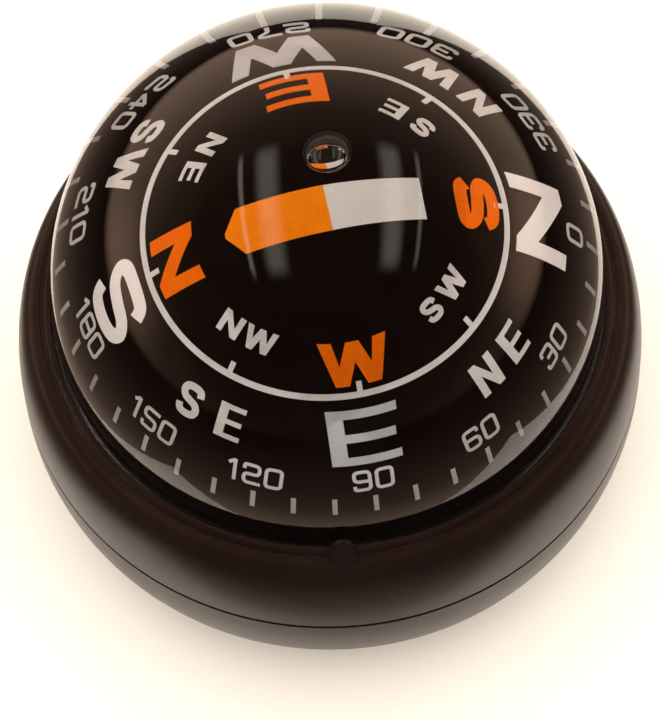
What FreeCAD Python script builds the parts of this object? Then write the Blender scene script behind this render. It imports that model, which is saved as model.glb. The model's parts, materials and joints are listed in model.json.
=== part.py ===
import FreeCAD, Part
import math
import os

# Handheld ball compass. Millimetres, +Z up, origin at the centre of the
# underside of the foot ring, lubber mark towards -Y.
V = FreeCAD.Vector

# ---- driving dimensions -------------------------------------------------
ZC = 34.0            # height of the dome's centre above the foot
DOME_R = 35.0        # outside of the clear dome
DOME_RI = 33.0       # inside of the dome and of the bowl
FLANGE_R = 38.5      # dome and bowl flanges
FLANGE_Z = -1.8      # top of the dome's flange, from the dome's centre
SEAL_Z = FLANGE_Z - 2.0
BOWL_Z = SEAL_Z - 0.9
LEDGE_Z = BOWL_Z - 2.5
SEAM_Z = -12.5       # joint between bezel and cup, from the dome's centre
BODY_R = 42.0        # widest point of the body
CARD_R = 24.5        # sphere that the card is moulded to
CARD_T = 0.8
CARD_CZ = -9.8       # centre of that sphere
CARD_RIM_Z = -7.1
CARD_YAW = 8.66      # degrees the card is turned at rest, counter-clockwise
FLOOR_Z = -19.0      # inside floor of the bowl
FLOOR_T = 2.2
VENT_R = 11.0        # opening over the diaphragm
FORK_X0, FORK_X1 = 13.4, 15.6
RING_RO, RING_RI, RING_H = 12.6, 10.2, 2.4
PIN_R, PIN_BORE = 0.6, 0.65
TILT_WEIGHT_R = 6.2
FLOAT_R = 10.0
PLATE_R = 25.1
FOOT_RI, FOOT_RO = 26.3, 30.1
AXIS = V(0, 0, 1)


def at(shape):
    s = shape.copy()
    s.translate(V(0, 0, ZC))
    return s


def wire(items):
    """items: points (r, z), with ('s', [points]) for a smooth run through the
    last point and those given, and ('a', mid, end) for an arc."""
    edges, last, first = [], None, None
    for it in items:
        if isinstance(it[0], str):
            if it[0] == "s":
                pts = [last] + [V(r, 0, z) for r, z in it[1]]
                c = Part.BSplineCurve()
                c.interpolate(pts)
                edges.append(c.toShape())
                last = pts[-1]
            else:
                mid, end = V(it[1][0], 0, it[1][1]), V(it[2][0], 0, it[2][1])
                edges.append(Part.Arc(last, mid, end).toShape())
                last = end
        else:
            p = V(it[0], 0, it[1])
            if last is not None and p.distanceToPoint(last) > 1e-7:
                edges.append(Part.LineSegment(last, p).toShape())
            if first is None:
                first = p
            last = p
    if last.distanceToPoint(first) > 1e-7:
        edges.append(Part.LineSegment(last, first).toShape())
    return Part.Wire(edges)


def turned(items):
    return Part.Face(wire(items)).revolve(V(0, 0, 0), AXIS, 360)


def cyl(r, z0, z1, x=0, y=0):
    return Part.makeCylinder(r, z1 - z0, V(x, y, z0), AXIS)


def box(x0, x1, y0, y1, z0, z1):
    return Part.makeBox(x1 - x0, y1 - y0, z1 - z0, V(x0, y0, z0))


def cone(r0, r1, z0, z1, x=0, y=0):
    return Part.makeCone(r0, r1, z1 - z0, V(x, y, z0), AXIS)


def spun(shape, deg):
    s = shape.copy()
    s.rotate(V(0, 0, 0), AXIS, deg)
    return s


def on_sphere(r, z):
    return math.sqrt(r * r - z * z)


def round_all(shape, r, pick=None):
    edges = [e for e in shape.Edges if pick is None or pick(e)]
    try:
        out = shape.makeFillet(r, edges)
        if out.isValid() and out.Volume > 0:
            return out
    except Exception:
        pass
    return shape


def screw(x, y, z_head, z_tip, r, head_r, head_h, up=1, style="pan", slot="cross"):
    """Screw whose head's outer face is at z_head and that points along up."""
    s = up
    lo, hi = sorted((z_head, z_head + s * head_h))
    if style == "pan":
        head = cyl(head_r, lo, hi, x, y)
        outer = [e for e in head.Edges if abs(e.BoundBox.ZMin - z_head) < 1e-6 and abs(e.BoundBox.ZMax - z_head) < 1e-6]
        try:
            head = head.makeFillet(min(head_h, head_r) * 0.45, outer)
        except Exception:
            pass
    else:
        head = cone(head_r, r, lo, hi, x, y) if s > 0 else cone(r, head_r, lo, hi, x, y)
    lo2, hi2 = sorted((z_head + s * head_h, z_tip))
    body = head.fuse(cyl(r, lo2, hi2, x, y))
    d = head_h * 0.5
    lo3, hi3 = sorted((z_head - s * 0.1, z_head + s * d))
    w = head_r * 0.14
    l = head_r * 0.62
    cut = box(x - l, x + l, y - w, y + w, lo3, hi3)
    if slot == "cross":
        cut = cut.fuse(box(x - w, x + w, y - l, y + l, lo3, hi3))
    return body.cut(cut).removeSplitter()


parts = {}

# ---- sealed capsule -----------------------------------------------------
k = math.sin(math.radians(45))
parts["dome"] = turned([
    (0, DOME_RI), ("a", (DOME_RI * k, DOME_RI * k), (DOME_RI, 0)), (DOME_RI, SEAL_Z),
    (FLANGE_R, SEAL_Z), (FLANGE_R, FLANGE_Z), (DOME_R, FLANGE_Z), (DOME_R, 0),
    ("a", (DOME_R * k, DOME_R * k), (0, DOME_R))])

parts["dome_gasket"] = turned([
    (33.6, BOWL_Z), (FLANGE_R - 0.1, BOWL_Z), (FLANGE_R - 0.1, SEAL_Z), (33.6, SEAL_Z)])

floor_ri = on_sphere(DOME_RI, FLOOR_Z)
floor_ro = on_sphere(DOME_R, FLOOR_Z - FLOOR_T)
bowl = turned([
    (on_sphere(DOME_RI, BOWL_Z), BOWL_Z),
    ("a", (on_sphere(DOME_RI, -11.5), -11.5), (floor_ri, FLOOR_Z)),
    (VENT_R, FLOOR_Z), (VENT_R, FLOOR_Z - FLOOR_T), (floor_ro, FLOOR_Z - FLOOR_T),
    ("a", (on_sphere(DOME_R, -14.0), -14.0), (on_sphere(DOME_R, LEDGE_Z), LEDGE_Z)),
    (FLANGE_R, LEDGE_Z), (FLANGE_R, BOWL_Z)])
FILL_X, FILL_Y = 0.0, 19.5
bowl = bowl.cut(cyl(2.2, FLOOR_Z - FLOOR_T - 1, FLOOR_Z + 1, FILL_X, FILL_Y))
DS_R = 13.2
ds_pos = [(DS_R * math.cos(math.radians(a)), DS_R * math.sin(math.radians(a))) for a in (45, 135, 225, 315)]
for x, y in ds_pos:
    bowl = bowl.cut(cyl(0.8, FLOOR_Z - FLOOR_T - 1, FLOOR_Z - 0.7, x, y))
FS_X = 18.3
for x in (-FS_X, FS_X):
    bowl = bowl.cut(cyl(0.9, FLOOR_Z - 1.7, FLOOR_Z + 1, x, 0))
parts["capsule_bowl"] = bowl

dz = FLOOR_Z - FLOOR_T
diaphragm = turned([
    (0, dz - 0.3), (6.5, dz - 0.3), (8.3, dz - 2.4), (10.3, dz), (15.0, dz),
    (15.0, dz - 0.8), (10.7, dz - 0.8), (8.3, dz - 3.4), (6.1, dz - 1.1), (0, dz - 1.1)])
ring = turned([(11.4, dz - 2.8), (15.0, dz - 2.8), (15.0, dz - 0.8), (11.4, dz - 0.8)])
screws = []
for x, y in ds_pos:
    hole = cyl(0.95, dz - 4, dz + 1, x, y)
    diaphragm = diaphragm.cut(hole)
    ring = ring.cut(hole)
    screws.append(screw(x, y, dz - 3.8, FLOOR_Z - 0.8, 0.78, 1.5, 1.0))
parts["diaphragm"] = diaphragm
parts["diaphragm_ring"] = ring
parts["diaphragm_screws"] = Part.Compound(screws)

plug = cyl(3.3, dz - 2.2, dz - 0.8, FILL_X, FILL_Y).fuse(cyl(2.17, dz - 0.8, FLOOR_Z - 0.1, FILL_X, FILL_Y))
plug = plug.cut(box(FILL_X - 2.6, FILL_X + 2.6, FILL_Y - 0.4, FILL_Y + 0.4, dz - 2.4, dz - 1.5))
parts["fill_plug"] = plug.removeSplitter()
parts["fill_plug_oring"] = Part.makeTorus(2.72, 0.4, V(FILL_X, FILL_Y, dz - 0.4), AXIS)

# ---- gimbal inside the capsule ------------------------------------------
fork = box(-20.2, 20.2, -3.0, 3.0, FLOOR_Z, FLOOR_Z + 1.8)
for s in (-1, 1):
    x0, x1 = sorted((s * FORK_X0, s * FORK_X1))
    up = box(x0, x1, -2.5, 2.5, FLOOR_Z + 1.8, 0)
    eye = Part.makeCylinder(2.5, x1 - x0, V(x0, 0, 0), V(1, 0, 0))
    eye = eye.common(box(x0, x1, -3, 3, -3, 1.9))
    gus = Part.Face(Part.makePolygon([V(s * FORK_X0, -0.6, FLOOR_Z + 1.8), V(s * (FORK_X0 - 3.6), -0.6, FLOOR_Z + 1.8),
                                      V(s * FORK_X0, -0.6, FLOOR_Z + 6.0), V(s * FORK_X0, -0.6, FLOOR_Z + 1.8)])).extrude(V(0, 1.2, 0))
    fork = fork.fuse([up, eye])
    fork = fork.cut(Part.makeCylinder(PIN_R, 8, V(s * 16.5, 0, 0), V(-s, 0, 0)))
    fork = fork.cut(cyl(1.05, FLOOR_Z - 1, FLOOR_Z + 3, s * FS_X, 0))
parts["gimbal_fork"] = fork.removeSplitter()
parts["fork_screws"] = Part.Compound([
    screw(s * FS_X, 0, FLOOR_Z + 2.8, FLOOR_Z - 1.6, 0.88, 1.5, 1.0, up=-1) for s in (-1, 1)])
parts["trunnion_pins"] = Part.Compound([
    Part.makeCylinder(PIN_R, FORK_X1 - 10.7, V(s * FORK_X1, 0, 0), V(-s, 0, 0)) for s in (-1, 1)])

gring = cyl(RING_RO, -RING_H / 2, RING_H / 2).cut(cyl(RING_RI, -3, 3))
gring = round_all(gring, 0.3)
for s in (-1, 1):
    gring = gring.cut(Part.makeCylinder(PIN_BORE, 4, V(s * 13.5, 0, 0), V(-s, 0, 0)))
    gring = gring.cut(Part.makeCylinder(PIN_R, 4, V(0, s * 13.5, 0), V(0, -s, 0)))
parts["gimbal_ring"] = gring
parts["yoke_pins"] = Part.Compound([
    Part.makeCylinder(PIN_R, 12.3 - 7.4, V(0, s * 12.3, 0), V(0, -s, 0)) for s in (-1, 1)])

yoke = box(-1.8, 1.8, -9.4, 9.4, -1.5, 1.5)
yoke = round_all(yoke, 0.4)
yoke = yoke.fuse([cyl(2.8, -2.4, 2.6), cyl(1.5, 2.6, 4.9), cyl(1.6, -13.4, -2.4)])
for s in (-1, 1):
    yoke = yoke.cut(Part.makeCylinder(PIN_BORE, 9.4 - 7.2 + 1, V(0, s * 10.4, 0), V(0, -s, 0)))
yoke = yoke.cut(cyl(PIN_R, 1.9, 6))
parts["pendulum_yoke"] = yoke.removeSplitter()
bob = turned([(1.6, -9.0), (4.4, -9.0), ("a", (5.75, -9.65), (TILT_WEIGHT_R, -11.0)), (TILT_WEIGHT_R, -13.2),
              ("a", (5.85, -13.95), (5.0, -14.3)), (1.6, -14.3)])
parts["counterweight"] = bob
parts["pivot_pin"] = cyl(PIN_R, 2.0, 7.6).fuse([cone(PIN_R, 0.05, 7.6, 8.55), cyl(1.15, 6.5, 6.9)]).removeSplitter()

# ---- card assembly ------------------------------------------------------
ci = CARD_R - CARD_T
rim_o = on_sphere(CARD_R, CARD_RIM_Z - CARD_CZ)
rim_i = on_sphere(ci, CARD_RIM_Z - CARD_CZ)
parts["card_dome"] = turned([
    (0, CARD_CZ + ci), ("a", (ci * k, CARD_CZ + ci * k), (rim_i, CARD_RIM_Z)),
    (rim_o, CARD_RIM_Z), ("a", (CARD_R * k, CARD_CZ + CARD_R * k), (0, CARD_CZ + CARD_R))])
fs = ci - 0.02


def under(r):
    return CARD_CZ + math.sqrt(fs * fs - r * r)


parts["card_float"] = turned([
    (2.2, 7.6), (FLOAT_R, 7.6), (FLOAT_R, under(FLOAT_R)),
    ("a", (9.6, under(9.6)), (9.2, under(9.2))),
    (9.2, 8.4), (3.2, 8.4), (3.2, under(3.2)), ("a", (2.7, under(2.7)), (2.2, under(2.2)))])
mags = []
for s in (-1, 1):
    m = box(-6.5, 6.5, s * 5.2 - 1.2, s * 5.2 + 1.2, 6.0, 7.6)
    mags.append(spun(m, CARD_YAW))
parts["card_magnets"] = Part.Compound(mags)
holder = cyl(2.2, 6.0, 12.4).cut(cyl(1.5, 5.5, 9.4))
parts["jewel_holder"] = holder
parts["jewel_cup"] = cyl(1.5, 7.8, 9.4).cut(cone(0.9, 0.0, 7.8, 8.6))
parts["pivot_retainer"] = cyl(2.6, 5.4, 6.0).cut(cyl(0.85, 5, 7))

# ---- body ---------------------------------------------------------------
bezel = turned([
    (35.4, FLANGE_Z), (35.4, -0.25), ("a", (35.5025, -0.0025), (35.75, 0.1)),
    ("a", (36.2, -0.05), (36.45, -0.38)), ("a", (36.7, -0.55), (37.0, -0.42)),
    ("s", [(38.2, -0.85), (39.3, -2.3), (40.25, -4.8), (41.02, -8.0), (41.5, -11.2), (41.6, -12.15)]),
    (41.3, SEAM_Z), (38.95, SEAM_Z), (38.95, -11.4), (39.95, -11.4), (39.95, -8.8),
    (38.95, -8.8), (38.95, FLANGE_Z)])
# entry slots of the bayonet
for a in (0, 90, 180, 270):
    seg = box(38.0, 39.95, -6.2, 6.2, -12.6, -11.3)
    seg = seg.common(cyl(39.95, -13, -11))
    bezel = bezel.cut(spun(seg, a + 45))
# lubber mark: a small peak that stands on the lip, round-topped towards the
# dome and sloping down to the shoulder
arch = Part.BSplineCurve()
arch.interpolate([V(-1.8, -34, -1.1), V(-1.6, -34, 0.2), V(-1.12, -34, 1.5), V(0, -34, 2.65),
                  V(1.12, -34, 1.5), V(1.6, -34, 0.2), V(1.8, -34, -1.1)])
arch = Part.Face(Part.Wire([arch.toShape(), Part.LineSegment(V(1.8, -34, -1.1), V(-1.8, -34, -1.1)).toShape()])).extrude(V(0, -6, 0))
slope = turned([(35.55, -1.3), (35.55, 2.3), (35.85, 2.8), (36.15, 2.5), (37.5, -0.35), (37.4, -1.3)])
bezel = bezel.fuse(arch.common(slope)).removeSplitter()
parts["bezel_ring"] = bezel

cup = turned([
    (36.6, LEDGE_Z), (38.85, LEDGE_Z), (38.85, SEAM_Z), (41.3, SEAM_Z), (41.65, -12.85),
    ("s", [(BODY_R, -17.0), (41.85, -20.5), (41.0, -24.6), (38.9, -28.6), (35.6, -31.6), (31.6, -33.2)]),
    (FOOT_RO, -33.2), (FOOT_RO, -32.3), (FOOT_RI, -32.3), (FOOT_RI, -33.2), (PLATE_R + 0.1, -33.2),
    (PLATE_R + 0.1, -31.2), (21.5, -31.2), (21.5, -29.4), (33.6, -29.4),
    ("s", [(36.6, -27.2), (38.7, -23.6), (39.5, -19.6), (39.5, -16.2)]), (36.6, -13.0)])
BS_R = 22.6
bs_pos = [(BS_R * math.cos(math.radians(a)), BS_R * math.sin(math.radians(a))) for a in (45, 135, 225, 315)]
lugs = []
for a in (0, 90, 180, 270):
    lug = cyl(39.7, -10.9, -9.3).cut(cyl(38.6, -12, -8)).common(box(30, 41, -5.4, 5.4, -12, -8))
    lugs.append(spun(lug, a))
cup = cup.fuse(lugs + [cyl(2.5, -29.4, -25.6, x, y) for x, y in bs_pos])
for x, y in bs_pos:
    cup = cup.cut(cyl(0.95, -31.5, -26.4, x, y))
parts["body_cup"] = cup.removeSplitter()

plate = cyl(PLATE_R, -33.0, -31.2)
plate = plate.cut(cyl(16.0, -33.5, -32.6).cut(cyl(14.6, -33.5, -32.6)))
screws = []
for x, y in bs_pos:
    plate = plate.cut(cyl(1.3, -34, -31, x, y)).cut(cone(2.3, 1.3, -33.001, -32.0, x, y))
    screws.append(screw(x, y, -32.98, -26.7, 0.93, 2.15, 0.95, style="csk"))
parts["base_plate"] = plate
parts["base_screws"] = Part.Compound(screws)
parts["foot_ring"] = turned([
    (FOOT_RI + 0.05, -32.3), (FOOT_RO - 0.05, -32.3), (FOOT_RO - 0.05, -33.7), (FOOT_RO - 0.35, -ZC),
    (FOOT_RI + 0.35, -ZC), (FOOT_RI + 0.05, -33.7)])

# ---- write --------------------------------------------------------------
os.makedirs("parts", exist_ok=True)
for f in os.listdir("parts"):
    if f.endswith(".step"):
        os.remove(os.path.join("parts", f))
for name, shape in parts.items():
    shape = at(shape)
    solids = shape.Solids
    assert solids and all(s.isValid() and s.Volume > 0 for s in solids), name
    out = solids[0] if len(solids) == 1 else Part.Compound(solids)
    out.exportStep("parts/" + name + ".step")
    print(name, len(solids), round(sum(s.Volume for s in solids), 2))
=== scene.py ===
import json
import math

import bmesh
import bpy
from mathutils import Matrix, Vector


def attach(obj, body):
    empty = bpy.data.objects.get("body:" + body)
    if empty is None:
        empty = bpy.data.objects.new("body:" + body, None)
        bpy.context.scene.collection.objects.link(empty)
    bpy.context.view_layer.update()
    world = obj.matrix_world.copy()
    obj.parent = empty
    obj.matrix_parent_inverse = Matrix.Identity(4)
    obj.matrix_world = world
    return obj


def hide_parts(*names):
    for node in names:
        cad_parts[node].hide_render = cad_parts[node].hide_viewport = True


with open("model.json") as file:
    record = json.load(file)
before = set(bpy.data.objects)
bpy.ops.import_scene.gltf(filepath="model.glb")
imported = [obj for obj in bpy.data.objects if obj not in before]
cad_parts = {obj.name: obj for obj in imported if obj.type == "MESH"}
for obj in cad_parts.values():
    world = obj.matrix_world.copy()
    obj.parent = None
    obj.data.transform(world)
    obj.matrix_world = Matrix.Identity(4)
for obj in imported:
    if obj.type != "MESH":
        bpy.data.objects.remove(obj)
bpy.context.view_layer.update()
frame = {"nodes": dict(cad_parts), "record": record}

NODES = frame["nodes"]
MM = 0.001
ZC = 34.0                    # dome centre above the foot, mm
DOME_R, DOME_RI = 35.0, 33.0
CARD_R, CARD_CZ = 24.5, -9.8
CARD_YAW = 8.66

# ------------------------------------------------------------------ nodes


class Tree:
    """A small helper to write shader node trees."""

    def __init__(self, name):
        self.mat = bpy.data.materials.new(name)
        self.mat.use_nodes = True
        self.nt = self.mat.node_tree
        self.nt.nodes.clear()
        self.out = self.nt.nodes.new("ShaderNodeOutputMaterial")
        self.co = self.nt.nodes.new("ShaderNodeTexCoord").outputs["Object"]

    def add(self, kind, **values):
        n = self.nt.nodes.new(kind)
        for k, v in values.items():
            if hasattr(n, k):
                setattr(n, k, v)
            else:
                self.put(n, k.replace("_", " "), v)
        return n

    def put(self, n, name, v):
        s = n.inputs[name]
        if isinstance(v, bpy.types.NodeSocket):
            self.nt.links.new(v, s)
        else:
            s.default_value = v

    def noise(self, scale, detail=3.0, rough=0.55, co=None):
        n = self.nt.nodes.new("ShaderNodeTexNoise")
        self.nt.links.new(co or self.co, n.inputs["Vector"])
        n.inputs["Scale"].default_value = scale
        n.inputs["Detail"].default_value = detail
        n.inputs["Roughness"].default_value = rough
        return n.outputs["Fac"]

    def stretch(self, sx, sy, sz, rz=0.0):
        n = self.nt.nodes.new("ShaderNodeMapping")
        self.nt.links.new(self.co, n.inputs["Vector"])
        n.inputs["Scale"].default_value = (sx, sy, sz)
        n.inputs["Rotation"].default_value = (0, 0, rz)
        return n.outputs["Vector"]

    def span(self, fac, lo, hi, a=0.3, b=0.7):
        n = self.nt.nodes.new("ShaderNodeMapRange")
        self.nt.links.new(fac, n.inputs["Value"])
        for k, v in (("From Min", a), ("From Max", b), ("To Min", lo), ("To Max", hi)):
            n.inputs[k].default_value = v
        return n.outputs["Result"]

    def ramp(self, fac, stops):
        n = self.nt.nodes.new("ShaderNodeValToRGB")
        self.nt.links.new(fac, n.inputs["Fac"])
        e = n.color_ramp.elements
        while len(e) < len(stops):
            e.new(0.5)
        for i, (p, c) in enumerate(stops):
            e[i].position = p
            e[i].color = (*c, 1.0)
        return n.outputs["Color"]

    def math(self, op, a, b=0.0):
        n = self.nt.nodes.new("ShaderNodeMath")
        n.operation = op
        for i, v in enumerate((a, b)):
            if isinstance(v, bpy.types.NodeSocket):
                self.nt.links.new(v, n.inputs[i])
            else:
                n.inputs[i].default_value = v
        return n.outputs[0]

    def bump(self, height, strength, distance, normal=None):
        n = self.nt.nodes.new("ShaderNodeBump")
        self.nt.links.new(height, n.inputs["Height"])
        n.inputs["Strength"].default_value = strength
        n.inputs["Distance"].default_value = distance
        if normal is not None:
            self.nt.links.new(normal, n.inputs["Normal"])
        return n.outputs["Normal"]

    def surface(self, **values):
        b = self.nt.nodes.new("ShaderNodeBsdfPrincipled")
        for k, v in values.items():
            self.put(b, k.replace("_", " "), v)
        self.nt.links.new(b.outputs["BSDF"], self.out.inputs["Surface"])
        return self.mat


def soft_touch(name, dark, light, rough=(0.28, 0.38), grain=5200.0, bump=0.14):
    t = Tree(name)
    cloud = t.noise(55, 4, 0.6)
    fine = t.noise(grain, 2, 0.5)
    dust = t.noise(1700, 2, 0.7)
    col = t.ramp(t.math("ADD", t.math("MULTIPLY", cloud, 0.7), t.math("MULTIPLY", dust, 0.3)),
                 [(0.36, dark), (0.68, light)])
    r = t.span(t.math("ADD", t.math("MULTIPLY", cloud, 0.6), t.math("MULTIPLY", fine, 0.4)), *rough)
    nrm = t.bump(fine, bump, 0.00006)
    nrm = t.bump(t.noise(320, 3, 0.5), 0.05, 0.0002, nrm)
    return t.surface(Base_Color=col, Roughness=r, Normal=nrm, IOR=1.8, Specular_IOR_Level=0.5,
                     Specular_Tint=(0.09, 0.05, 0.04, 1.0))


def moulded(name, dark, light, rough=(0.34, 0.5), grain=2600.0, spec=0.5):
    t = Tree(name)
    cloud, fine = t.noise(90, 4, 0.6), t.noise(grain, 3, 0.6)
    col = t.ramp(cloud, [(0.35, dark), (0.7, light)])
    return t.surface(Base_Color=col, Roughness=t.span(fine, *rough), Normal=t.bump(fine, 0.2, 0.00005), IOR=1.5,
                     Specular_IOR_Level=spec)


def rubber(name, dark, light):
    t = Tree(name)
    cloud, fine = t.noise(120, 4, 0.6), t.noise(3400, 3, 0.65)
    col = t.ramp(cloud, [(0.35, dark), (0.72, light)])
    return t.surface(Base_Color=col, Roughness=t.span(fine, 0.68, 0.88), Normal=t.bump(fine, 0.35, 0.00008), IOR=1.5)


def metal(name, dark, light, rough, lines=(900, 900, 9000)):
    """Turned metal: fine lines across the part's axis and a soft tarnish."""
    t = Tree(name)
    cut = t.noise(1.0, 2, 0.6, t.stretch(*lines))
    tarnish = t.noise(260, 4, 0.6)
    col = t.ramp(tarnish, [(0.34, dark), (0.66, light)])
    r = t.span(t.math("ADD", t.math("MULTIPLY", cut, 0.6), t.math("MULTIPLY", tarnish, 0.4)), *rough)
    return t.surface(Base_Color=col, Metallic=1.0, Roughness=r, Normal=t.bump(cut, 0.12, 0.00002))


def ink(name, dark, light, rough=(0.38, 0.52), metallic=0.0):
    """Screen-printed ink: faint mottling, pinholes and a slight orange-peel."""
    t = Tree(name)
    mottle, pin = t.noise(420, 4, 0.65), t.noise(4200, 2, 0.6)
    f = t.math("ADD", t.math("MULTIPLY", mottle, 0.55), t.math("MULTIPLY", pin, 0.45))
    col = t.ramp(f, [(0.34, dark), (0.62, light)])
    return t.surface(Base_Color=col, Roughness=t.span(pin, *rough), Metallic=metallic,
                     Normal=t.bump(pin, 0.1, 0.00003), IOR=1.45, Specular_IOR_Level=0.0)


def clear(name, tint, ior, rough=(0.0, 0.012), glare=(1.0, 1.0, 1.0, 1.0)):
    t = Tree(name)
    haze = t.noise(35, 4, 0.6)
    return t.surface(Base_Color=tint, Roughness=t.span(haze, *rough), IOR=ior, Transmission_Weight=1.0,
                     Specular_Tint=glare)


M = {
    "soft_black": soft_touch("soft_black", (0.0046, 0.0022, 0.0017), (0.0078, 0.0042, 0.0034)),
    "black_plastic": moulded("black_plastic", (0.010, 0.009, 0.0085), (0.020, 0.018, 0.017)),
    "seal_rubber": rubber("seal_rubber", (0.010, 0.010, 0.010), (0.022, 0.021, 0.020)),
    "foot_rubber": rubber("foot_rubber", (0.014, 0.013, 0.012), (0.030, 0.028, 0.026)),
    "stainless_steel": metal("stainless_steel", (0.50, 0.50, 0.51), (0.68, 0.68, 0.69), (0.2, 0.36)),
    "brass": metal("brass", (0.60, 0.40, 0.16), (0.80, 0.58, 0.27), (0.2, 0.38)),
    "aluminium": metal("aluminium", (0.62, 0.63, 0.64), (0.78, 0.79, 0.80), (0.26, 0.42)),
    "magnet": metal("magnet", (0.30, 0.30, 0.31), (0.44, 0.44, 0.45), (0.3, 0.5)),
    "sapphire": clear("sapphire", (0.90, 0.93, 1.0, 1.0), 1.77),
    "card_black": moulded("card_black", (0.0046, 0.0020, 0.0014), (0.0078, 0.0038, 0.0030), (0.4, 0.5), 1900.0, 0.0),
}
SLOT = {s["node"]: s["material_slot"] for s in frame["record"]["subparts"]}
for name, obj in NODES.items():
    for s in obj.material_slots:
        if SLOT[name] in M:
            s.material = M[SLOT[name]]

# ----------------------------------------------------------------- meshes


def new_object(name, verts, faces, mat, body, smooth=None, make=None):
    me = bpy.data.meshes.new(name)
    me.from_pydata(verts, [], faces)
    me.validate()
    bm = bmesh.new()
    bm.from_mesh(me)
    bmesh.ops.recalc_face_normals(bm, faces=bm.faces)
    bm.to_mesh(me)
    bm.free()
    o = bpy.data.objects.new(name, me)
    bpy.context.scene.collection.objects.link(o)
    me.materials.append(mat)
    if smooth is not None:
        me.shade_smooth()
        me.set_sharp_from_angle(angle=math.radians(smooth))
    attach(o, body)
    return o


def lathe(profile, segments, z0=ZC):
    """Closed solid of revolution from (r, z) points in mm; r = 0 ends close it."""
    verts, rings = [], []
    for r, z in profile:
        if r < 1e-6:
            rings.append([len(verts)])
            verts.append((0, 0, (z + z0) * MM))
        else:
            rings.append(list(range(len(verts), len(verts) + segments)))
            for i in range(segments):
                a = 2 * math.pi * i / segments
                verts.append((r * math.cos(a) * MM, r * math.sin(a) * MM, (z + z0) * MM))
    faces = []
    for p, q in zip(rings, rings[1:]):
        for i in range(segments):
            j = (i + 1) % segments
            if len(p) == 1 and len(q) > 1:
                faces.append((p[0], q[i], q[j]))
            elif len(q) == 1 and len(p) > 1:
                faces.append((p[i], q[0], p[j]))
            elif len(p) > 1:
                faces.append((p[i], q[i], q[j], p[j]))
    return verts, faces


# The clear dome and the damping liquid have the same index, so they act as one
# ball: a single closed body from the dome's outside down into the bowl's wall.
profile = [(0.0, DOME_R)]
for i in range(1, 97):
    a = math.radians(90 * i / 96)
    profile.append((DOME_R * math.sin(a), DOME_R * math.cos(a)))
profile += [(35.0, -1.8), (38.45, -1.8), (38.45, -3.75), (33.5, -3.75)]
for i in range(17):
    a = math.radians(-8.0 - 28.3 * i / 16)
    profile.append((33.95 * math.cos(a), 33.95 * math.sin(a)))
profile += [(20.0, -20.1), (10.0, -20.1), (0.0, -20.1)]
M["clear_acrylic"] = clear("clear_acrylic", (1.0, 1.0, 1.0, 1.0), 1.45, glare=(0.90, 0.86, 0.82, 1.0))
v, f = lathe(profile, 256)
dome = new_object("dome_filled", v, f, M["clear_acrylic"], "housing", smooth=25)
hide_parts("dome")
dome.visible_shadow = False

# air bubble resting under the dome, a little off its top
BX, BY = 0.68, -1.95
BR = 32.96
bub = []
n_lat, n_lon = 40, 64
axis = Vector((BX, BY, math.sqrt(BR * BR - BX * BX - BY * BY))).normalized()
rot = axis.to_track_quat("Z", "Y").to_matrix()
up0 = BR - 0.62
for i in range(n_lat + 1):
    t = math.pi * i / n_lat
    rr = math.sin(t)
    zz = (0.62 if t < math.pi / 2 else 1.75) * math.cos(t)
    if i in (0, n_lat):
        bub.append([Vector((0, 0, zz))])
    else:
        bub.append([Vector((2.6 * rr * math.cos(2 * math.pi * k / n_lon), 2.42 * rr * math.sin(2 * math.pi * k / n_lon), zz)) for k in range(n_lon)])
verts, rings = [], []
for ring in bub:
    rings.append(list(range(len(verts), len(verts) + len(ring))))
    for p in ring:
        q = rot @ (p + Vector((0, 0, up0)))
        verts.append(((q.x) * MM, (q.y) * MM, (q.z + ZC) * MM))
faces = []
for p, q in zip(rings, rings[1:]):
    for k in range(n_lon):
        l = (k + 1) % n_lon
        if len(p) == 1:
            faces.append((p[0], q[k], q[l]))
        elif len(q) == 1:
            faces.append((p[k], q[0], p[l]))
        else:
            faces.append((p[k], q[k], q[l], p[l]))
t = Tree("air_bubble")
g = t.nt.nodes.new("ShaderNodeBsdfGlass")
g.inputs["IOR"].default_value = 1 / 1.45
t.nt.links.new(t.span(t.noise(400, 2), 0.0, 0.004), g.inputs["Roughness"])
t.nt.links.new(g.outputs["BSDF"], t.out.inputs["Surface"])
bubble = new_object("air_bubble", verts, faces, t.mat, "housing", smooth=60)
bubble.visible_shadow = False

# ----------------------------------------------------------------- glyphs


def flesh(path, closed, width):
    """Quads of a stroke of that width along a path of (u, v) points."""
    n = len(path)
    pts, faces = [], []
    for i, (x, y) in enumerate(path):
        a = path[i - 1] if (i > 0 or closed) else path[i]
        b = path[(i + 1) % n] if (i < n - 1 or closed) else path[i]
        d1 = Vector((x - a[0], y - a[1]))
        d2 = Vector((b[0] - x, b[1] - y))
        d1 = d1.normalized() if d1.length > 1e-9 else d2.normalized()
        d2 = d2.normalized() if d2.length > 1e-9 else d1
        n1, n2 = Vector((-d1.y, d1.x)), Vector((-d2.y, d2.x))
        m = (n1 + n2).normalized()
        k = width / 2 / max(0.4, m.dot(n1))
        pts += [(x + m.x * k, y + m.y * k), (x - m.x * k, y - m.y * k)]
    for i in range(n if closed else n - 1):
        j = (i + 1) % n
        faces.append((2 * i, 2 * i + 1, 2 * j + 1, 2 * j))
    return pts, faces


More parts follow.
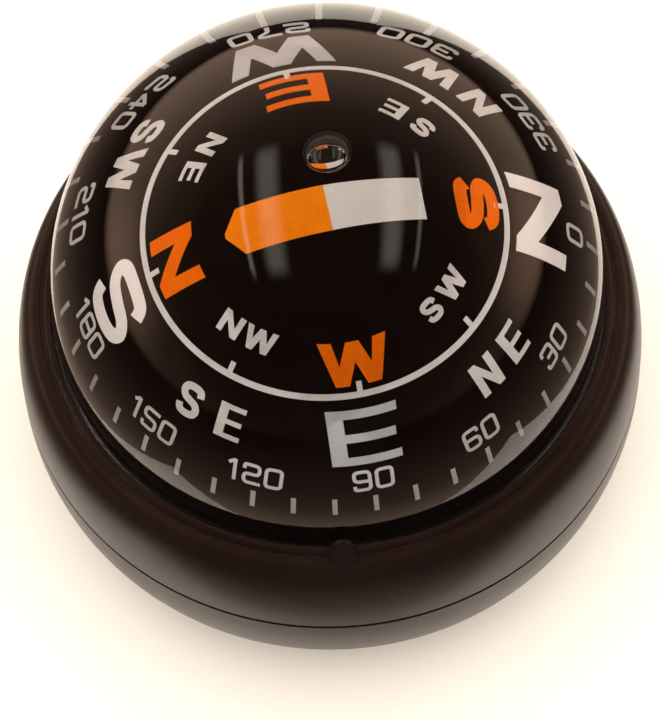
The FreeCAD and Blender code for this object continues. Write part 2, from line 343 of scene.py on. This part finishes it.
def rounded(path, radius, closed=False, steps=5):
    out, n = [], len(path)
    for i, p in enumerate(path):
        if not closed and i in (0, n - 1):
            out.append(p)
            continue
        a, b, c = Vector(path[i - 1]), Vector(p), Vector(path[(i + 1) % n])
        la, lc = (a - b).length, (c - b).length
        r = min(radius, la * 0.5, lc * 0.5)
        p0, p1 = b + (a - b).normalized() * r, b + (c - b).normalized() * r
        for k in range(steps + 1):
            s = k / steps
            q = p0 * (1 - s) ** 2 + b * 2 * s * (1 - s) + p1 * s * s
            out.append((q.x, q.y))
    return out


def smooth_path(points, steps=6):
    out = []
    n = len(points)
    for i in range(n - 1):
        p0 = Vector(points[max(i - 1, 0)])
        p1, p2 = Vector(points[i]), Vector(points[i + 1])
        p3 = Vector(points[min(i + 2, n - 1)])
        for k in range(steps):
            s = k / steps
            q = 0.5 * ((2 * p1) + (p2 - p0) * s + (2 * p0 - 5 * p1 + 4 * p2 - p3) * s * s
                       + (3 * p1 - p0 - 3 * p2 + p3) * s ** 3)
            out.append((q.x, q.y))
    out.append(tuple(points[-1]))
    return out


def poly(points):
    return points, [tuple(range(len(points)))]


def letter(ch, w, h, s):
    """Bold upright letter, w by h mm, with stem s; list of (points, faces)."""
    x, y = w / 2, h / 2
    if ch == "E":
        a = s * 0.56
        return [poly([(-x, -y), (x, -y), (x, -y + a), (-x + s, -y + a), (-x + s, -a / 2), (x - 0.05 * w, -a / 2),
                      (x - 0.05 * w, a / 2), (-x + s, a / 2), (-x + s, y - a), (x, y - a), (x, y), (-x, y)])]
    if ch == "N":
        t = 0.40 * h
        return [poly([(-x, -y), (-x + s, -y), (-x + s, y - t), (x - s, -y), (x, -y), (x, y), (x - s, y),
                      (x - s, -y + t), (-x + s, y), (-x, y)])]
    if ch == "W":
        b, t = 0.235 * w, 0.46 * h
        e = s * 0.50
        return [poly([(-x, y), (-x + s, y), (-b, -y + t), (-e * 0.95, y), (e * 0.95, y), (b, -y + t), (x - s, y), (x, y),
                      (b + e, -y), (b - e, -y), (0, y - t), (-b + e, -y), (-b - e, -y)])]
    a, b = (w - s) / 2, (h - s * 0.84) / 2
    path = smooth_path([(a * 0.98, b * 0.50), (a * 0.74, b * 0.90), (0, b), (-a * 0.76, b * 0.88), (-a, b * 0.50),
                        (-a * 0.66, b * 0.14), (0, 0), (a * 0.66, -b * 0.14), (a, -b * 0.50), (a * 0.76, -b * 0.88),
                        (0, -b), (-a * 0.74, -b * 0.90), (-a * 0.98, -b * 0.50)])
    return [flesh(path, False, s * 0.9)]


DW, DH, DS = 1.92, 2.62, 0.37      # dial numbers: width, height, stroke


def digit(ch):
    a, b, r = (DW - DS) / 2, (DH - DS) / 2, 0.48
    if ch == "1":
        return [flesh([(-0.52, b * 0.62), (0.02, b), (0.12, b * 0.98), (0.12, -b - DS / 2)], False, DS)]
    if ch == "4":
        return [flesh([(0.5 * a, -b - DS / 2), (0.5 * a, b)], False, DS), flesh([(0.5 * a, b), (-a, -0.4 * b)], False, DS),
                flesh([(-a, -0.4 * b), (a + DS / 2, -0.4 * b)], False, DS)]
    if ch == "0":
        return [flesh(rounded([(-a, b), (a, b), (a, -b), (-a, -b)], r, True), True, DS)]
    if ch == "8":
        return [flesh(rounded([(-a, b), (a, b), (a, -b), (-a, -b)], r, True), True, DS), flesh([(-a, 0), (a, 0)], False, DS)]
    paths = {
        "2": [[(-a, 0.5 * b), (-a, b), (a, b), (a, 0), (-a, 0), (-a, -b), (a + DS / 2, -b)]],
        "3": [[(-a, 0.55 * b), (-a, b), (a, b), (a, -b), (-a, -b), (-a, -0.55 * b)], [(-0.4 * a, 0), (a, 0)]],
        "5": [[(a + DS / 2, b), (-a, b), (-a, 0.08 * b), (a, 0.08 * b), (a, -b), (-a, -b), (-a, -0.55 * b)]],
        "6": [[(a, 0.55 * b), (a, b), (-a, b), (-a, -b), (a, -b), (a, 0.05 * b), (-a, 0.05 * b)]],
        "7": [[(-a - DS / 2, b), (a, b), (a, 0.5 * b), (0, -0.1 * b), (0, -b - DS / 2)]],
        "9": [[(-a, -0.55 * b), (-a, -b), (a, -b), (a, b), (-a, b), (-a, -0.05 * b), (a, -0.05 * b)]],
    }[ch]
    return [flesh(rounded(p, r), False, DS) for p in paths]


def cells(pieces, du=0.0, dv=0.0, grid=0.7):
    """2D pieces cut along a grid, so that they bend smoothly over the card."""
    bm = bmesh.new()
    for pts, fcs in pieces:
        vs = [bm.verts.new((x + du, y + dv, 0)) for x, y in pts]
        for fc in fcs:
            try:
                bm.faces.new([vs[i] for i in fc])
            except ValueError:
                pass
    bm.normal_update()
    big = [fc for fc in bm.faces if len(fc.verts) > 4]
    if big:
        bmesh.ops.triangulate(bm, faces=big)
    xs = [v.co.x for v in bm.verts]
    ys = [v.co.y for v in bm.verts]
    for axis_i, lo, hi in ((0, min(xs), max(xs)), (1, min(ys), max(ys))):
        k = math.ceil(lo / grid)
        while k * grid < hi:
            p = [0, 0, 0]
            p[axis_i] = k * grid
            nrm = [0, 0, 0]
            nrm[axis_i] = 1
            bmesh.ops.bisect_plane(bm, geom=bm.verts[:] + bm.edges[:] + bm.faces[:], plane_co=p, plane_no=nrm, dist=1e-6)
            k += 1
    bm.verts.index_update()
    verts = [(v.co.x, v.co.y) for v in bm.verts]
    fcs = [[v.index for v in fc.verts] for fc in bm.faces]
    bm.free()
    return verts, fcs


R_TOP, R_LOW = CARD_R + 0.055, CARD_R - 0.06


class Print:
    """Marks printed on the card's top, as thin closed solids."""

    def __init__(self):
        self.verts, self.faces = [], []

    def solid(self, verts2, fcs, where):
        n0, n = len(self.verts), len(verts2)
        for radius in (R_TOP, R_LOW):
            for u, w in verts2:
                self.verts.append(where(u, w, radius))
        count = {}
        for fc in fcs:
            for i in range(len(fc)):
                e = (fc[i], fc[(i + 1) % len(fc)])
                count[frozenset(e)] = None if frozenset(e) in count else e
        for fc in fcs:
            self.faces.append([n0 + i for i in fc])
            self.faces.append([n0 + n + i for i in reversed(fc)])
        for e in count.values():
            if e:
                self.faces.append([n0 + e[1], n0 + e[0], n0 + n + e[0], n0 + n + e[1]])

    def around(self, pieces, bearing, polar, du=0.0, dv=0.0, grid=0.7):
        """Marks whose top points to the card's centre, at a bearing and a polar angle in degrees."""
        verts2, fcs = cells(pieces, du, dv, grid)

        def where(u, w, radius):
            th = math.radians(polar) - w / CARD_R
            a = math.radians(CARD_YAW - bearing) + u / (CARD_R * math.sin(th))
            return (radius * math.sin(th) * math.cos(a) * MM, radius * math.sin(th) * math.sin(a) * MM,
                    (ZC + CARD_CZ + radius * math.cos(th)) * MM)

        self.solid(verts2, fcs, where)

    def flat(self, pieces, grid=0.7):
        """Marks laid out from above: u towards north, v to its left."""
        verts2, fcs = cells(pieces, grid=grid)
        c, s = math.cos(math.radians(CARD_YAW)), math.sin(math.radians(CARD_YAW))

        def where(u, w, radius):
            x, y = (u * c - w * s), (u * s + w * c)
            k = radius / CARD_R
            x, y = x * k, y * k
            return (x * MM, y * MM, (ZC + CARD_CZ + math.sqrt(radius * radius - x * x - y * y)) * MM)

        self.solid(verts2, fcs, where)

    def done(self, name, mat, slot):
        return new_object(name, self.verts, self.faces, mat, "card")


WHITE = ink("print_white", (0.66, 0.66, 0.66), (0.78, 0.78, 0.78))
GREY = ink("print_grey", (0.44, 0.43, 0.42), (0.58, 0.57, 0.56))
# a darker copy of the white print: painted shade on the E and W letters, which face the front and the rear
WHITE_PAINTED_SHADE = ink("print_white_painted_shade", (0.50, 0.51, 0.53), (0.58, 0.59, 0.61), (0.3, 0.5))
# a lighter copy of the white print: painted light on the N and S letters at the sides
WHITE_PAINTED_LIT = ink("print_white_painted_lit", (0.90, 0.90, 0.90), (0.98, 0.98, 0.98), (0.3, 0.5))
ORANGE = ink("print_orange", (0.90, 0.145, 0.002), (1.0, 0.195, 0.003))
STRIP_ORANGE = ink("arrow_orange", (0.90, 0.21, 0.004), (1.0, 0.27, 0.006), (0.28, 0.4))
STRIP_SILVER = ink("arrow_silver", (0.66, 0.66, 0.65), (0.72, 0.72, 0.71), (0.25, 0.42))

# ticks every 10 degrees
p = Print()
for b in range(0, 360, 10):
    p.around([poly([(-0.25, -1.08), (0.25, -1.08), (0.25, 1.08), (-0.25, 1.08)])], b, 74.0)
p.done("card_ticks", GREY, "print_white")

# numbers every 30 degrees
p = Print()
for b in range(0, 360, 30):
    text = str(b)
    step = DW + 0.32
    widths = [DW * (0.62 if c == "1" else 1.0) for c in text]
    total = sum(widths) + 0.32 * (len(text) - 1)
    x = -total / 2
    for c, w in zip(text, widths):
        p.around(digit(c), b, 66.6, du=x + w / 2)
        x += w + 0.32
p.done("card_numbers", WHITE, "print_white")

# ring with eight small inward ticks
p = Print()
rad = CARD_R * math.sin(math.radians(44.0))
n = 180
circle = [(rad * math.cos(2 * math.pi * i / n), rad * math.sin(2 * math.pi * i / n)) for i in range(n)]
p.flat([flesh(circle, True, 0.46)], grid=50)
for b in range(0, 360, 45):
    p.around([poly([(-0.27, -0.42), (0.27, -0.42), (0.27, 0.62), (-0.27, 0.62)])], b, 42.3)
p.done("card_ring", WHITE, "print_white")

# outer letters: N and S in a lighter copy of the white print (painted light), E and W in a darker copy of it
# (painted shade)
OUTER = (("N", 0.4, 54.9, 8.3, 6.9, 1.62), ("E", 90.85, 54.65, 7.05, 6.1, 1.66),
         ("S", 179.5, 54.7, 7.3, 6.7, 1.66), ("W", 269.7, 54.1, 9.3, 5.9, 1.62))
for name, which, mat in (("card_outer_letters_ns", "NS", WHITE_PAINTED_LIT), ("card_outer_letters_ew", "EW", WHITE_PAINTED_SHADE)):
    p = Print()
    for ch, b, polar, w, h, s in OUTER:
        if ch in which:
            p.around(letter(ch, w, h, s), b, polar)
    p.done(name, mat, "print_white")
p = Print()
for ch, b in (("E", 38.4), ("N", 50.9), ("E", 129.6), ("S", 142.7), ("W", 218.9), ("S", 231.2), ("W", 309.0), ("N", 322.8)):
    w = {"E": 2.72, "N": 2.92, "S": 2.78, "W": 4.45}[ch]
    p.around(letter(ch, w, 3.78, {"E": 0.95, "N": 0.84, "S": 0.86, "W": 0.92}[ch]), b, 54.9)
p.done("card_outer_points", WHITE, "print_white")

# inner letters, for reading from the other side
p = Print()
for ch, b, polar, w, h, s in (("S", 0.5, 36.4, 5.75, 4.7, 1.5), ("W", 89.9, 36.7, 6.85, 4.35, 1.36),
                              ("N", 180.2, 36.4, 6.2, 4.75, 1.5), ("E", 270.8, 36.4, 5.8, 4.6, 1.5)):
    p.around(letter(ch, w, h, s), b, polar)
p.done("card_inner_letters", ORANGE, "print_orange")
p = Print()
for ch, b in (("W", 38.2), ("S", 52.5), ("W", 129.1), ("N", 143.0), ("E", 217.9), ("N", 231.8), ("E", 309.2), ("S", 322.9)):
    w = {"E": 2.15, "N": 2.36, "S": 2.08, "W": 3.28}[ch]
    p.around(letter(ch, w, 2.3, {"E": 0.68, "N": 0.62, "S": 0.6, "W": 0.62}[ch]), b, 33.8)
p.done("card_inner_points", WHITE, "print_white")

# pointer across the middle: orange half towards the inner N, silver half the other way
p = Print()
p.flat([poly([(-9.55, -0.25), (-8.05, -2.45), (0.42, -2.45), (0.42, 2.45), (-8.05, 2.45), (-9.55, 0.25)])])
p.done("card_pointer_orange", STRIP_ORANGE, "print_orange")
p = Print()
p.flat([poly([(0.42, -2.43), (9.5, -2.2), (9.5, 2.2), (0.42, 2.43)])])
p.done("card_pointer_silver", STRIP_SILVER, "print_white")

# ------------------------------------------------------------------ stage
t = Tree("floor_pale")
n1 = t.noise(3.0, 4, 0.6)
t.surface(Base_Color=t.ramp(n1, [(0.3, (0.525, 0.472, 0.412)), (0.7, (0.54, 0.487, 0.427))]), Roughness=0.75,
          Specular_IOR_Level=0.2, Normal=t.bump(t.noise(900, 2), 0.03, 0.0002))


def sheet(name, x0, x1, y0, y1, mirrored):
    me = bpy.data.meshes.new(name)
    me.from_pydata([(x0, y0, 0), (x1, y0, 0), (x1, y1, 0), (x0, y1, 0)], [], [(0, 1, 2, 3)])
    o = bpy.data.objects.new(name, me)
    bpy.context.scene.collection.objects.link(o)
    me.materials.append(t.mat)
    o.visible_glossy = mirrored


# one pale floor; beyond the near patch the room is dark in reflections
X0, X1, Y0, Y1 = -0.060, 0.068, -0.054, 0.30
sheet("floor", X0, X1, Y0, Y1, True)
sheet("floor_left", -6.0, X0, -6.0, 6.0, False)
sheet("floor_right", X1, 6.0, -6.0, 6.0, False)
sheet("floor_front", X0, X1, -6.0, Y0, False)
sheet("floor_back", X0, X1, Y1, 6.0, False)

world = bpy.data.worlds.new("studio")
bpy.context.scene.world = world
world.use_nodes = True
wn = world.node_tree
wn.nodes.clear()
wo = wn.nodes.new("ShaderNodeOutputWorld")
bg = wn.nodes.new("ShaderNodeBackground")
tc = wn.nodes.new("ShaderNodeTexCoord")
dot = wn.nodes.new("ShaderNodeVectorMath")
dot.operation = "DOT_PRODUCT"
dot.inputs[1].default_value = (0.0, 0.55, -0.835)
rng = wn.nodes.new("ShaderNodeMapRange")
rng.inputs["From Min"].default_value, rng.inputs["From Max"].default_value = -1.0, 1.0
rmp = wn.nodes.new("ShaderNodeValToRGB")
wn.links.new(tc.outputs["Generated"], dot.inputs[0])
wn.links.new(dot.outputs["Value"], rng.inputs["Value"])
wn.links.new(rng.outputs["Result"], rmp.inputs["Fac"])
els = rmp.color_ramp.elements
els[0].position, els[0].color = 0.06, (0.085, 0.062, 0.050, 1)
els[1].position, els[1].color = 0.66, (1.9, 1.30, 0.92, 1)
for pos, c in ((0.24, (0.15, 0.105, 0.080, 1)), (0.38, (0.55, 0.37, 0.27, 1)), (0.50, (1.30, 0.86, 0.62, 1))):
    e = els.new(pos)
    e.color = c
sep = wn.nodes.new("ShaderNodeSeparateXYZ")
wn.links.new(tc.outputs["Generated"], sep.inputs[0])
low = wn.nodes.new("ShaderNodeMapRange")
wn.links.new(sep.outputs["Z"], low.inputs["Value"])
low.inputs["From Min"].default_value, low.inputs["From Max"].default_value = 0.0, -1.0
lramp = wn.nodes.new("ShaderNodeValToRGB")
wn.links.new(low.outputs["Result"], lramp.inputs["Fac"])
le = lramp.color_ramp.elements
le[0].position, le[0].color = 0.0, (0.03, 0.02, 0.015, 1)
le[1].position, le[1].color = 0.84, (1.0, 0.72, 0.56, 1)
for pos, c in ((0.17, (0.09, 0.058, 0.045, 1)), (0.34, (0.20, 0.13, 0.10, 1)), (0.50, (0.32, 0.21, 0.16, 1)), (0.66, (0.45, 0.30, 0.22, 1))):
    e = le.new(pos)
    e.color = c
edge = wn.nodes.new("ShaderNodeMapRange")
wn.links.new(sep.outputs["Z"], edge.inputs["Value"])
edge.inputs["From Min"].default_value, edge.inputs["From Max"].default_value = -0.02, -0.08
mix = wn.nodes.new("ShaderNodeMix")
mix.data_type = "RGBA"
wn.links.new(edge.outputs["Result"], mix.inputs[0])
wn.links.new(rmp.outputs["Color"], mix.inputs[6])
wn.links.new(lramp.outputs["Color"], mix.inputs[7])
wn.links.new(mix.outputs[2], bg.inputs["Color"])
bg.inputs["Strength"].default_value = 0.7
wn.links.new(bg.outputs["Background"], wo.inputs["Surface"])


def area(name, loc, target, sx, sy, watts, color=(1, 0.95, 0.89), glossy=True, soft=None):
    l = bpy.data.lights.new(name, "AREA")
    l.shape = "RECTANGLE"
    l.size, l.size_y, l.energy, l.color = sx, sy, watts, color
    o = bpy.data.objects.new(name, l)
    o.location = loc
    o.rotation_euler = (Vector(target) - Vector(loc)).to_track_quat("-Z", "Y").to_euler()
    o.visible_glossy = glossy
    o.visible_transmission = glossy
    o.visible_camera = False
    bpy.context.scene.collection.objects.link(o)
    if soft:        # a diffuser that fades towards its edges
        l.use_nodes = True
        nt = l.node_tree
        em = [n for n in nt.nodes if n.type == "EMISSION"][0]
        geo = nt.nodes.new("ShaderNodeNewGeometry")
        sp = nt.nodes.new("ShaderNodeSeparateXYZ")
        nt.links.new(geo.outputs["Parametric"], sp.inputs[0])
        last = None
        for k, edge in enumerate(soft):
            d = nt.nodes.new("ShaderNodeMath")
            d.operation = "PINGPONG"
            nt.links.new(sp.outputs[k], d.inputs[0])
            d.inputs[1].default_value = 0.5
            r = nt.nodes.new("ShaderNodeMapRange")
            r.interpolation_type = "SMOOTHSTEP"
            nt.links.new(d.outputs[0], r.inputs["Value"])
            r.inputs["From Min"].default_value, r.inputs["From Max"].default_value = 0.0, edge
            if last is None:
                last = r.outputs["Result"]
            else:
                mul = nt.nodes.new("ShaderNodeMath")
                mul.operation = "MULTIPLY"
                nt.links.new(last, mul.inputs[0])
                nt.links.new(r.outputs["Result"], mul.inputs[1])
                last = mul.outputs[0]
        nt.links.new(last, em.inputs["Strength"])
    return o


area("overhead", (0.0, 0.0, 0.9), (0, 0, 0), 2.4, 2.4, 71.0, color=(1, 0.975, 0.95), glossy=False)
for name, x, wide, watts in (("window_left", -0.300, 0.20, 1.15), ("window_left_edge", -0.475, 0.055, 0.42),
                             ("window_right", 0.395, 0.20, 1.15), ("window_right_edge", 0.60, 0.055, 0.30)):
    area(name, (x, 0.03, 0.86), (x, 0.03, 0), wide, 0.92, watts, soft=(0.42, 0.16))
for name, x in (("side_left", -0.55), ("side_right", 0.55)):
    area(name, (x, 0.03, 0.12), (0, 0, 0.05), 0.6, 0.24, 0.50, color=(1, 0.60, 0.42), soft=(0.4, 0.4))

# ----------------------------------------------------------------- camera
cam = bpy.data.cameras.new("camera")
cam.sensor_fit = "AUTO"
cam.sensor_width = 36.0
cam.lens = 1612.6 / 720 * 36.0
cam.clip_start, cam.clip_end = 0.005, 50.0
cam.dof.use_dof = False
camo = bpy.data.objects.new("camera", cam)
bpy.context.scene.collection.objects.link(camo)
right = Vector((0.9993269810452134, -0.028715269042446746, -0.022825824823647572))
up = Vector((0.03581050976844539, 0.8985438456247167, 0.4374203526129865))
forward = Vector((-0.007949361306672576, 0.4379433648472885, -0.8989674170074524))
m = Matrix((right, up, -forward)).transposed().to_4x4()
m.translation = Vector((1.68750072, -99.09395242, 180.81112367 + ZC)) * MM
camo.matrix_world = Matrix.Rotation(math.radians(-1.4), 4, "Z") @ m
bpy.context.scene.camera = camo
bpy.context.scene.view_settings.view_transform = "Standard"
